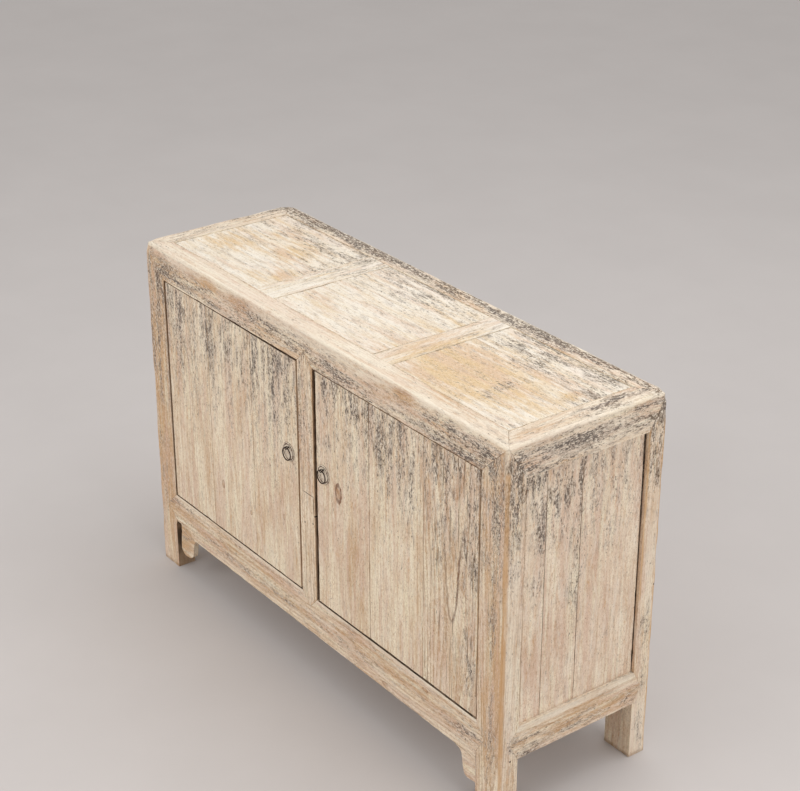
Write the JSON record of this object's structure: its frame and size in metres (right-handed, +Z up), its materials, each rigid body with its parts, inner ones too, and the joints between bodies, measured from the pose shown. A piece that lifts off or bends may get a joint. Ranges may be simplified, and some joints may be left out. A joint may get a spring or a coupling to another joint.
{
  "type": "kang cabinet",
  "caption": "Low, long framed wooden cabinet with flush plank doors either side of a fixed stile, iron ring pulls and small corner brackets under the front rail.",
  "frame": {"origin": "on the floor under the middle of the bounding box, ring pulls included", "axes": "+X to the right along the length as seen from the front, the doors face -Y, +Z up"},
  "size_m": [1.14, 0.3608, 0.736],
  "materials": {
    "frame_wood": "bleached, with rubbed grey pigment",
    "door_wood": "bleached, with rubbed grey pigment",
    "top_wood": "bleached and scrubbed pale",
    "panel_wood": "bleached, with rubbed grey pigment",
    "inner_wood": "bare, dry",
    "ring_iron": "dark forged iron",
    "plate_iron": "thin iron, limewashed with the door"
  },
  "bodies": {
    "carcase": {"apron_strip": "frame_wood", "back_board_left_inner": "inner_wood", "back_board_left_outer": "inner_wood", "back_board_right_inner": "inner_wood", "back_board_right_outer": "inner_wood", "base_rail_front": "frame_wood", "base_rail_left": "frame_wood", "base_rail_rear": "frame_wood", "base_rail_right": "frame_wood", "bracket_left": "frame_wood", "bracket_right": "frame_wood", "floor_bearer_left": "inner_wood", "floor_bearer_right": "inner_wood", "floor_board_front": "inner_wood", "floor_board_middle": "inner_wood", "floor_board_rear": "inner_wood", "leg_front_left": "frame_wood", "leg_front_right": "frame_wood", "leg_rear_left": "frame_wood", "leg_rear_right": "frame_wood", "side_board_left_front": "panel_wood", "side_board_left_middle": "panel_wood", "side_board_left_rear": "panel_wood", "side_board_right_front": "panel_wood", "side_board_right_middle": "panel_wood", "side_board_right_rear": "panel_wood", "stile_front": "frame_wood", "stile_rear": "frame_wood", "top_board_centre_front": "top_wood", "top_board_centre_rear": "top_wood", "top_board_left_front": "top_wood", "top_board_left_rear": "top_wood", "top_board_right_front": "top_wood", "top_board_right_rear": "top_wood", "top_crossrail_left": "frame_wood", "top_crossrail_right": "frame_wood", "top_rail_front": "frame_wood", "top_rail_left": "frame_wood", "top_rail_rear": "frame_wood", "top_rail_right": "frame_wood"},
    "door_left": {"door_left_batten_lower": "inner_wood", "door_left_batten_upper": "inner_wood", "door_left_board_inner": "door_wood", "door_left_board_middle": "door_wood", "door_left_board_outer": "door_wood", "pull_pin_left": "ring_iron", "pull_plate_left": "plate_iron"},
    "door_right": {"door_right_batten_lower": "inner_wood", "door_right_batten_upper": "inner_wood", "door_right_board_inner": "door_wood", "door_right_board_middle": "door_wood", "door_right_board_outer": "door_wood", "pull_pin_right": "ring_iron", "pull_plate_right": "plate_iron"},
    "ring_left": {"pull_ring_left": "ring_iron"},
    "ring_right": {"pull_ring_right": "ring_iron"}
  },
  "joints": [
    {"name": "door_left_pivot", "type": "hinge", "parent": "carcase", "child": "door_left", "pos_m": [-0.492, -0.1611, 0.182], "axis": [0, 0, -1], "range_deg": [0, 95]},
    {"name": "door_right_pivot", "type": "hinge", "parent": "carcase", "child": "door_right", "pos_m": [0.493, -0.1611, 0.182], "axis": [0, 0, 1], "range_deg": [0, 95]},
    {"name": "ring_left_swing", "type": "hinge", "parent": "door_left", "child": "ring_left", "pos_m": [-0.061, -0.1761, 0.4775], "axis": [-1, 0, 0], "range_deg": [-8, 150]},
    {"name": "ring_right_swing", "type": "hinge", "parent": "door_right", "child": "ring_right", "pos_m": [0.053, -0.1761, 0.4775], "axis": [-1, 0, 0], "range_deg": [-8, 150]}
  ]
}
